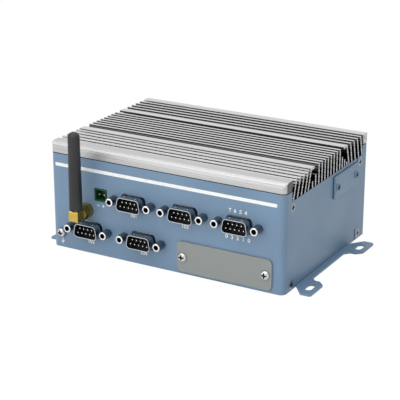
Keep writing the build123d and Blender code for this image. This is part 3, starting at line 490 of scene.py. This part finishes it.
def thermoplastic_sleeve(name, tone):
    """Black thermoplastic elastomer over a whip: matt, with a fine grain and a lighter dusty bloom."""
    made, tree, shader, place = new_material(name)
    grain = noise_at(tree, place, 0.3, 4.0)
    bloom = noise_at(tree, place, 6.0, 2.0, (1.0, 1.0, 3.0))
    base = blended(tree, tone, tinted(tone, 1.5, 0.004), above(tree, bloom, 0.35, 0.7))
    tree.links.new(base, shader.inputs["Base Color"])
    tree.links.new(ranged(tree, grain, 0.42, 0.56), shader.inputs["Roughness"])
    shader.inputs["IOR"].default_value = 1.48
    raised(tree, shader, grain, 0.014, 0.5)
    return made


def solder_mask(name, tone, copper, gold):
    """Solder mask over copper: tracks show as a lighter green, plated holes as small gold rings.

    The boards' edges are bare laminate.
    """
    made, tree, shader, place = new_material(name)
    tracks = add_node(tree, "ShaderNodeTexBrick", {"offset": 0.37, "squash": 0.6, "squash_frequency": 3},
                      Vector=place, Color1=tone, Color2=tone, Mortar=copper, Scale=per_mm(6.0),
                      Mortar_Size=0.035, Mortar_Smooth=0.2, Brick_Width=1.3, Row_Height=0.25).outputs["Color"]
    cells = add_node(tree, "ShaderNodeTexVoronoi", Vector=place, Scale=per_mm(4.5), Randomness=0.8)
    hole = below(tree, cells.outputs["Distance"], 0.09, 0.12)
    shown = blended(tree, tracks, gold, hole)
    level = above(tree, facing(tree, "Z"), 0.4, 0.6)
    shown = blended(tree, hex_colour("A8A070"), shown, level)
    tree.links.new(shown, shader.inputs["Base Color"])
    weave = noise_at(tree, place, 0.6, 2.0)
    tree.links.new(ranged(tree, weave, 0.26, 0.36), shader.inputs["Roughness"])
    raised(tree, shader, weave, 0.01, 0.4)
    return made


def printed_ink(name, tone):
    """Screen printed ink: the mesh leaves a faint regular grain and slightly uneven cover."""
    made, tree, shader, place = new_material(name)
    mesh = noise_at(tree, place, 0.2, 2.0)
    cover = noise_at(tree, place, 4.0, 2.0)
    base = blended(tree, tinted(tone, 0.9), tone, above(tree, cover, 0.3, 0.55))
    tree.links.new(base, shader.inputs["Base Color"])
    tree.links.new(ranged(tree, mesh, 0.45, 0.6), shader.inputs["Roughness"])
    raised(tree, shader, mesh, 0.004, 0.4)
    return made


def studio_floor(name, tone):
    """Pale seamless floor: near white to the camera and in reflections, with the object's soft shadow."""
    made, tree, shader, place = new_material(name)
    base = blended(tree, tone, hex_colour("EFEFEF"), noise_at(tree, place, 400.0))
    tree.links.new(base, shader.inputs["Base Color"])
    shader.inputs["Roughness"].default_value = 0.9
    glow = add_node(tree, "ShaderNodeEmission", Color=(1, 1, 1, 1), Strength=FLOOR_GLOW)
    share = ranged(tree, seen_directly(tree), 0.0, FLOOR_GLOW_SHARE)
    mixed = add_node(tree, "ShaderNodeMixShader", i0=share, i1=shader.outputs[0], i2=glow.outputs[0])
    out = next(n for n in tree.nodes if n.type == "OUTPUT_MATERIAL")
    tree.links.new(mixed.outputs[0], out.inputs["Surface"])
    return made


def paint_node(name, material):
    """Gives a CAD node that keeps its own shape a finish."""
    node = frame["nodes"][name]
    for slot in node.material_slots:
        slot.material = material


def add_piece(name, mesh, material, replaced=()):
    """Puts a mesh into the scene as a piece that rides on the body."""
    piece = bpy.data.objects.new(name, mesh)
    bpy.context.scene.collection.objects.link(piece)
    if mesh.materials:
        mesh.materials[0] = material
    else:
        mesh.materials.append(material)
    if replaced:
        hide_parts(*replaced)
    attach(piece, "root")
    return piece


def round_edges(piece, width, segments=2, angle=30.0):
    """Rounds every edge sharper than ANGLE, and shades the rest smooth."""
    piece.data.shade_smooth()
    bevel = piece.modifiers.new("Edge radius", "BEVEL")
    bevel.width = width
    bevel.segments = segments
    bevel.limit_method = "ANGLE"
    bevel.angle_limit = radians(angle)
    bevel.use_clamp_overlap = False
    bevel.harden_normals = True
    bevel.miter_outer = "MITER_ARC"


def dress_node(name, material, width, segments=2, angle=30.0):
    """Replaces a CAD node with a copy whose facets are joined into clean faces and whose edges are rounded."""
    mesh = frame["nodes"][name].data.copy()
    shape = bmesh.new()
    shape.from_mesh(mesh)
    bmesh.ops.remove_doubles(shape, verts=shape.verts, dist=WELD_DISTANCE)
    bmesh.ops.dissolve_limit(shape, angle_limit=FACET_TURN, verts=shape.verts, edges=shape.edges)
    shape.to_mesh(mesh)
    shape.free()
    if mesh.has_custom_normals:
        mesh.attributes.remove(mesh.attributes["custom_normal"])
    mesh.name = name + "_finished"
    piece = add_piece(name + "_finished", mesh, material, (name,))
    round_edges(piece, width, segments, angle)
    return piece


def ring_solid(shape, centre, rings, inner_from, sides=36):
    """Skins a stack of rings round an axis that points out of the front panel.

    Each ring is (distance out, radius, flats): with flats the ring follows a hexagon, cut back to the radius.
    Faces from the ring INNER_FROM on take the second material.
    """
    loops = []
    for out, radius, flats in rings:
        loop = []
        for i in range(sides):
            turn = 2 * pi * i / sides
            reach = radius
            if flats:
                to_flat = (turn % (pi / 3)) - pi / 6
                reach = min(radius, flats / 2 / cos(to_flat))
            spot = (centre[0] + reach * cos(turn), FRONT / MM - out, centre[1] + reach * sin(turn))
            loop.append(shape.verts.new(Vector(spot) * MM))
        loops.append(loop)
    for number, (low, high) in enumerate(zip(loops, loops[1:])):
        for i in range(sides):
            j = (i + 1) % sides
            face = shape.faces.new((low[j], low[i], high[i], high[j]))
            face.material_index = int(number >= inner_from)
    shape.faces.new(loops[0])
    shape.faces.new(list(reversed(loops[-1]))).material_index = 1


def jackscrew_rings(pitch):
    """Hexagon body, chamfered nose, countersunk mouth and the thread down to a blind floor, in millimetres."""
    flats, corner, reach, bore = 4.8, 2.664, 6.5, 1.42
    foot, chamfer, chamfer_start, mouth, mouth_depth = 0.15, 0.3, 0.25, 0.1, 0.12
    thread_start, thread_end, thread_depth, floor, tip = 0.3, 5.0, 0.24, 5.2, 5.45
    rings = [(0.0, corner - foot, flats), (foot, corner, flats), (reach - chamfer_start, corner, flats),
             (reach, corner - chamfer, flats - 2 * chamfer), (reach, bore + mouth, 0),
             (reach - mouth_depth, bore, 0), (reach - thread_start, bore, 0)]
    depth = thread_start
    while depth + pitch < thread_end:
        rings += [(reach - depth - pitch / 2, bore - thread_depth, 0), (reach - depth - pitch, bore, 0)]
        depth += pitch
    return rings + [(reach - floor, bore, 0), (reach - tip, bore * 0.3, 0)]


def toothed_ring(low, high, hole_radius, teeth, steps):
    """Washer with teeth round it, inside a box, STEPS points to each tooth."""
    centre = (low + high) / 2
    tip = (high.x - low.x) / 2
    root = tip * 0.8
    sides = teeth * steps
    shape = bmesh.new()
    loops = []
    for y, inner in ((high.y, False), (low.y, False), (low.y, True), (high.y, True)):
        loop = []
        for i in range(sides):
            turn = 2 * pi * i / sides
            on_tooth = 0.2 < (i * teeth / sides) % 1.0 < 0.7
            reach = hole_radius if inner else tip if on_tooth else root
            loop.append(shape.verts.new((centre.x + reach * cos(turn), y, centre.z + reach * sin(turn))))
        loops.append(loop)
    for first, second in zip(loops, loops[1:] + loops[:1]):
        for i in range(sides):
            j = (i + 1) % sides
            shape.faces.new((first[i], first[j], second[j], second[i]))
    bmesh.ops.recalc_face_normals(shape, faces=shape.faces)
    mesh = bpy.data.meshes.new("toothed_washer")
    shape.to_mesh(mesh)
    shape.free()
    return mesh


def front_text(text, height):
    """Flat outlines of printed characters, HEIGHT metres high, as a mesh that lies round the origin."""
    curve = bpy.data.curves.new("printed_text", "FONT")
    curve.body = text
    curve.align_x = "CENTER"
    curve.offset = NUMERAL_WEIGHT
    carrier = bpy.data.objects.new("printed_text", curve)
    mesh = bpy.data.meshes.new_from_object(carrier)
    bpy.data.objects.remove(carrier)
    bpy.data.curves.remove(curve)
    mesh.transform(Matrix.Scale(height / NUMERAL_SHARE, 4))
    return mesh


def islands(shape):
    """The separate solids of a mesh, as lists of faces."""
    left = set(shape.faces)
    found = []
    while left:
        grown = [left.pop()]
        for face in grown:
            for edge in face.edges:
                for near in edge.link_faces:
                    if near in left:
                        left.remove(near)
                        grown.append(near)
        found.append(grown)
    return found


def mark_recesses(piece, axis, reach, depth, material):
    """Gives the faces of each screw's cross recess the second material, which paints shade into them.

    AXIS is 0 or 1, the head points away from the object's middle, and a recess face lies within REACH of the
    screw's axis and more than DEPTH under the top of its head.
    """
    piece.data.materials.append(material)
    shape = bmesh.new()
    shape.from_mesh(piece.data)
    for faces in islands(shape):
        spots = [vert.co for face in faces for vert in face.verts]
        low = [min(spot[i] for spot in spots) for i in range(3)]
        high = [max(spot[i] for spot in spots) for i in range(3)]
        out = 1 if low[axis] + high[axis] > 0 else -1
        top = high[axis] if out > 0 else low[axis]
        for face in faces:
            spot = face.calc_center_median()
            aside = [spot[i] - (low[i] + high[i]) / 2 for i in range(3) if i != axis]
            if (top - spot[axis]) * out > depth and aside[0] ** 2 + aside[1] ** 2 < reach ** 2:
                face.material_index = 1
    shape.to_mesh(piece.data)
    shape.free()


def printed_bars(line):
    """Bars of the strip, the earth sign and the two polarity signs, whose lines are LINE millimetres thick.

    Each is (X, Z, width, height) in millimetres, and none overlaps another.
    """
    strip = [(-0.85, 52.03, 145.9, 2.05)]
    earth_x, earth_stem = -70.4, 1.6
    earth = [(earth_x, z, width, line) for z, width in ((4.0, 2.2), (3.3, 1.4), (2.6, 0.6))]
    earth.append((earth_x, 5.01, line, earth_stem))
    minus_x, plus_x, sign_z, sign_width = -44.2, -40.7, 31.2, 1.6
    signs = [(x, sign_z, sign_width, line) for x in (minus_x, plus_x)]
    arm = (sign_width - line) / 2
    signs += [(plus_x, sign_z + side * (line + arm) / 2, line, arm) for side in (-1, 1)]
    return strip + earth + signs


def printed_numbers():
    """Plain numbers under four ports and round the fifth, as (text, X, Z) in millimetres."""
    aside, drop = 0.2, 8.9
    numbers = [(str(number), x + aside, z - drop) for number, (x, z) in enumerate(PORTS[:4], 101)]
    for row, start, pitch, z in (("7654", 43.2, 3.3, 43.3), ("03210", 41.2, 3.5, 27.6)):
        numbers += [(text, start + pitch * i, z) for i, text in enumerate(row)]
    return numbers


def look_at(item, place, target):
    """Puts a lamp or the camera at a place and turns its view to a target."""
    item.location = place
    item.rotation_euler = (Vector(target) - Vector(place)).to_track_quat("-Z", "Y").to_euler()


class BOX_OT_housing(Operator):
    """Powder coated housing: wrapped cover, base plate with its ears, rear panel and both covers"""
    bl_idname = "box_computer.housing"
    bl_label = "Housing"

    def execute(self, context):
        look = context.scene.box_housing
        paint = powder_coated_steel("powder_coated_steel", look.paint, look.paint_shade, look.peel)
        base = powder_coated_steel("powder_coated_base", look.base_paint, look.paint_shade, look.peel)
        grey = powder_coated_steel("smooth_grey_coat", look.blank_paint, look.blank_paint, look.peel,
                                   fleck=1.03)
        # The wrap cover's coat carries painted shade at its cut edges.
        wrap = powder_coated_steel("powder_coated_wrap", look.paint, look.paint_shade, look.peel,
                                   gap_shade=cut_edges)
        # The access cover's coat carries painted shade along its side against the wall.
        gap_shaded_cover = powder_coated_steel("powder_coated_cover", look.paint, look.paint_shade, look.peel,
                                     gap_shade=under_cover)
        dress_node("wrap_cover", wrap, look.edge)
        dress_node("rear_panel", paint, look.edge)
        dress_node("base_plate", base, look.edge)
        dress_node("access_cover", gap_shaded_cover, look.edge)
        dress_node("expansion_cover", grey, look.edge * 1.6, segments=3)
        return {"FINISHED"}


class BOX_OT_lid(Operator):
    """Finned lid, an anodised aluminium extrusion"""
    bl_idname = "box_computer.lid"
    bl_label = "Finned lid"

    def execute(self, context):
        look = context.scene.box_lid
        metal = anodised_extrusion("anodised_extrusion", look)
        dress_node("heatsink", metal, look.edge, angle=50.0)
        return {"FINISHED"}


class BOX_OT_screws(Operator):
    """Wall, cover and earth screws, and the toothed earth washer"""
    bl_idname = "box_computer.screws"
    bl_label = "Screws"

    def execute(self, context):
        look = context.scene.box_housing
        zinc = plated_metal("zinc_plated_steel", hex_colour("CDCECD"), 0.26, 0.3)
        paint = powder_coated_steel("painted_screw_heads", look.paint, look.paint_shade, look.peel)
        # Painted shade for the cross recesses.
        recess_shade = moulded_plastic("shaded_recess", look.recess, 0.7, 0.3, 1.0)
        darkened = plated_metal("dull_zinc_steel", hex_colour("929A9C"), 0.3, 0.3)
        spring = plated_metal("spring_steel_washer", hex_colour("8E9296"), 0.3, 0.3)
        heads = (("wall_screws", darkened, "screw_steel", 0, 0.02),
                 ("access_cover_screws", paint, "painted_screws", 0, 0.25),
                 ("expansion_cover_screws", zinc, "screw_steel", 1, 0.3),
                 ("earth_screw", zinc, "screw_steel", 1, 0.3))
        for name, metal, slot, axis, recess_depth in heads:
            piece = dress_node(name, metal, 0.07 * MM, angle=35.0)
            mark_recesses(piece, axis, 1.75 * MM, recess_depth * MM, recess_shade)
        low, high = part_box("earth_washer")
        mesh = toothed_ring(low, high, hole_radius=1.72 * MM, teeth=14, steps=10)
        washer = add_piece("toothed_washer", mesh, spring, ("earth_washer",))
        round_edges(washer, 0.05 * MM, segments=1, angle=40.0)
        return {"FINISHED"}


class BOX_OT_ports(Operator):
    """Nine-way ports: pressed shells, mouldings and round pins"""
    bl_idname = "box_computer.ports"
    bl_label = "Ports"

    def execute(self, context):
        look = context.scene.box_ports
        # Painted shade on the shells' sides and behind the panel.
        nickel = plated_metal("nickel_plated_shell", look.rim_tone, 0.24, 0.35, side=look.pressed, square=0.94)
        black = moulded_plastic("glass_filled_moulding", look.insulator, 0.5, 0.25, 2.0)
        # Painted highlight on the pins' tips and painted shade on their sides.
        gold = plated_metal("gold_plated_contact", look.gold, 0.2, 0.2, tint=0.95, side=look.shank, square=0.9)
        for number in range(1, len(PORTS) + 1):
            dress_node(f"port_{number}_shell", nickel, look.rim, segments=3, angle=35.0)
            dress_node(f"port_{number}_insulator", black, 0.1 * MM)
            dress_node(f"port_{number}_pins", gold, 0.34 * MM, segments=3, angle=40.0)
        return {"FINISHED"}


class BOX_OT_jackscrews(Operator):
    """Turned jackscrews beside each port, with the thread in their bores"""
    bl_idname = "box_computer.jackscrews"
    bl_label = "Jackscrews"

    def execute(self, context):
        look = context.scene.box_ports
        # Painted shade on the jackscrews' sides, and near-black painted shade in their bores.
        nickel = plated_metal("nickel_plated_turning", look.nickel, 0.22, 0.25, tint=0.92, side=look.drawn)
        inner = plated_metal("shaded_bore", look.bore, 0.5, 0.25)
        shape = bmesh.new()
        rings = jackscrew_rings(look.thread_pitch / MM)
        for x, z in PORTS:
            for side in (-1, 1):
                ring_solid(shape, (x + side * JACK_SPACING / 2, z), rings, inner_from=4)
        mesh = bpy.data.meshes.new("threaded_jackscrews")
        shape.to_mesh(mesh)
        shape.free()
        piece = add_piece("threaded_jackscrews", mesh, nickel, ("jackscrews",))
        piece.data.materials.append(inner)
        round_edges(piece, 0.04 * MM, segments=1, angle=40.0)
        return {"FINISHED"}


class BOX_OT_power_inlet(Operator):
    """Green power inlet and its two pins"""
    bl_idname = "box_computer.power_inlet"
    bl_label = "Power inlet"

    def execute(self, context):
        look = context.scene.box_ports
        green = moulded_plastic("green_polyamide", look.terminal, 0.42, 0.3, 1.6, sheen=1.35)
        # The power pins take the contact tip tone all over: tin's own light colour, lifted by painted
        # highlight.
        tin = plated_metal("tinned_pin", look.gold, 0.25, 0.2)
        dress_node("power_housing", green, 0.16 * MM, segments=3)
        dress_node("power_pins", tin, 0.22 * MM)
        return {"FINISHED"}


class BOX_OT_antenna(Operator):
    """Stub antenna: gold plated jack, nuts and elbow, and the black sleeve"""
    bl_idname = "box_computer.antenna"
    bl_label = "Antenna"

    def execute(self, context):
        look = context.scene.box_antenna
        # Painted shade on the sides of the brass parts.
        gold = plated_metal("gold_plated_brass", look.gold, 0.3, 0.35, side=look.brass, square=0.4)
        rubber = thermoplastic_sleeve("thermoplastic_sleeve", look.sleeve)
        for name in ("antenna_jack", "antenna_lock_nut", "antenna_coupling_nut", "antenna_elbow"):
            dress_node(name, gold, look.edge, segments=3, angle=32.0)
        dress_node("antenna_sleeve", rubber, 0.25 * MM, segments=3, angle=45.0)
        return {"FINISHED"}


class BOX_OT_print(Operator):
    """White strip, signs and numbers printed on the front panel"""
    bl_idname = "box_computer.print"
    bl_label = "Printed marks"

    def execute(self, context):
        look = context.scene.box_print
        shape = bmesh.new()
        for x, z, width, height in printed_bars(line=0.42):
            corners = [(x + a * width / 2, z + b * height / 2) for a, b in ((-1, -1), (1, -1), (1, 1), (-1, 1))]
            shape.faces.new([shape.verts.new((a * MM, FRONT, b * MM)) for a, b in corners])
        for text, x, z in printed_numbers():
            mesh = front_text(text, look.numeral)
            mesh.transform(Matrix.Translation((x * MM, FRONT, z * MM)) @ Matrix.Rotation(pi / 2, 4, "X"))
            shape.from_mesh(mesh)
            bpy.data.meshes.remove(mesh)
        for face in shape.faces:
            face.normal_update()
            if face.normal.y > 0:
                face.normal_flip()
        raised_faces = bmesh.ops.extrude_face_region(shape, geom=list(shape.faces))["geom"]
        moved = [v for v in raised_faces if isinstance(v, bmesh.types.BMVert)]
        bmesh.ops.translate(shape, vec=(0, -look.thickness, 0), verts=moved)
        mesh = bpy.data.meshes.new("front_print")
        shape.to_mesh(mesh)
        shape.free()
        add_piece("front_print", mesh, printed_ink("screen_printed_ink", look.ink))
        return {"FINISHED"}


class BOX_OT_boards(Operator):
    """Everything inside the housing, and the sockets at the rear"""
    bl_idname = "box_computer.boards"
    bl_label = "Boards and rear sockets"

    def execute(self, context):
        ring = hex_colour("C9A94F")
        mask = solder_mask("green_solder_mask", hex_colour("0F4A2B"), hex_colour("1C6A3E"), ring)
        card = solder_mask("card_solder_mask", hex_colour("0B3D33"), hex_colour("16594A"), ring)
        black = moulded_plastic("socket_moulding", hex_colour("131314"), 0.45, 0.3, 2.0)
        epoxy = moulded_plastic("chip_epoxy", hex_colour("1A1A1B"), 0.6, 0.15, 3.0)
        pad = moulded_plastic("silicone_pad", hex_colour("8C99AD"), 0.8, 0.5, 4.0)
        jacket = moulded_plastic("coaxial_jacket", hex_colour("141414"), 0.4, 0.2, 1.0)
        brass = plated_metal("nickel_plated_brass", hex_colour("C8B27A"), 0.3, 0.3)
        zinc = plated_metal("zinc_plated_board_screw", hex_colour("BDBFBE"), 0.3, 0.3)
        cell = plated_metal("stainless_cell", hex_colour("C8C8C8"), 0.18, 0.4)
        shield = plated_metal("tin_plated_shield", hex_colour("C2C2BE"), 0.3, 0.4)
        finish = {
            mask: ("upper_board", "lower_board"),
            card: ("memory_module", "storage_card", "radio_card"),
            black: ("memory_socket", "storage_socket", "radio_socket", "cell_holder", "board_link",
                    "expansion_socket"),
            epoxy: ("processor", "port_controller"),
            pad: ("thermal_pad",),
            milled_aluminium("milled_aluminium", hex_colour("C6C7C9")): ("heat_block",),
            brass: ("lower_posts", "upper_posts"),
            zinc: ("board_screws",),
            cell: ("coin_cell",),
            jacket: ("antenna_lead",),
            shield: ("lan_ports", "usb_ports", "video_port", "card_reader"),
        }
        for material, names in finish.items():
            for name in names:
                paint_node(name, material)
        return {"FINISHED"}


class BOX_OT_studio(Operator):
    """Floor, world, soft lights and the camera"""
    bl_idname = "box_computer.studio"
    bl_label = "Studio"

    def execute(self, context):
        look = context.scene.box_studio
        scene = context.scene
        mesh = bpy.data.meshes.new("studio_floor")
        corners = [(a * FLOOR_REACH, b * FLOOR_REACH, 0) for a, b in ((-1, -1), (1, -1), (1, 1), (-1, 1))]
        mesh.from_pydata(corners, [], [(0, 1, 2, 3)])
        floor = bpy.data.objects.new("studio_floor", mesh)
        floor.location.z = cad_low.z
        floor.data.materials.append(studio_floor("studio_floor", look.floor))
        scene.collection.objects.link(floor)

        world = bpy.data.worlds.new("studio_world")
        scene.world = world
        world.use_nodes = True
        tree = world.node_tree
        tree.nodes.clear()
        across, _, _ = parts_of(tree, add_node(tree, "ShaderNodeTexCoord").outputs["Generated"])
        left, right = look.sky * (1 + look.slope), look.sky * (1 - look.slope)
        level = between(tree, ranged(tree, across, left, right, -1.0, 1.0), 1.0, seen_directly(tree))
        back = add_node(tree, "ShaderNodeBackground", Color=(1, 1, 1, 1), Strength=level)
        add_node(tree, "ShaderNodeOutputWorld", Surface=back.outputs[0])

        for name, place, size, watts in (("key_light", KEY_PLACE, KEY_SIZE, look.key_power),
                                         ("fill_light", FILL_PLACE, FILL_SIZE, look.fill_power)):
            light = bpy.data.lights.new(name, "AREA")
            light.shape = "SQUARE"
            light.size = size
            light.energy = watts
            lamp = bpy.data.objects.new(name, light)
            look_at(lamp, place, LAMP_TARGET)
            scene.collection.objects.link(lamp)
        camera = bpy.data.objects.new("camera", bpy.data.cameras.new("camera"))
        camera.data.lens = CAMERA_LENS
        camera.data.sensor_width = SENSOR_WIDTH
        camera.data.clip_end = 20.0
        look_at(camera, CAMERA_PLACE, CAMERA_TARGET)
        scene.collection.objects.link(camera)
        scene.camera = camera
        scene.view_settings.view_transform = "Standard"
        return {"FINISHED"}


STEPS = (BOX_OT_housing, BOX_OT_lid, BOX_OT_screws, BOX_OT_ports, BOX_OT_jackscrews, BOX_OT_power_inlet,
         BOX_OT_antenna, BOX_OT_print, BOX_OT_boards, BOX_OT_studio)


class BOX_PT_sidebar(Panel):
    """Lists the groups of settings and the operators that use them"""
    bl_idname = "BOX_PT_sidebar"
    bl_label = "Box computer"
    bl_space_type = "VIEW_3D"
    bl_region_type = "UI"
    bl_category = "Box computer"

    def draw(self, context):
        for name in SETTINGS:
            group = getattr(context.scene, name)
            box = self.layout.box()
            for key in group.bl_rna.properties.keys():
                if key not in ("name", "rna_type"):
                    box.prop(group, key)
        for step in STEPS:
            self.layout.operator(step.bl_idname)


def register():
    for group in SETTINGS.values():
        bpy.utils.register_class(group)
    for name, group in SETTINGS.items():
        setattr(bpy.types.Scene, name, PointerProperty(type=group))
    for step in STEPS:
        bpy.utils.register_class(step)
    bpy.utils.register_class(BOX_PT_sidebar)


def unregister():
    bpy.utils.unregister_class(BOX_PT_sidebar)
    for step in reversed(STEPS):
        bpy.utils.unregister_class(step)
    for name in SETTINGS:
        delattr(bpy.types.Scene, name)
    for group in SETTINGS.values():
        bpy.utils.unregister_class(group)


def main():
    register()
    for step in STEPS:
        group, action = step.bl_idname.split(".")
        result = getattr(getattr(bpy.ops, group), action)()
        if result != {"FINISHED"}:
            raise RuntimeError(f"{step.bl_label} did not finish")


if __name__ == "__main__":
    main()
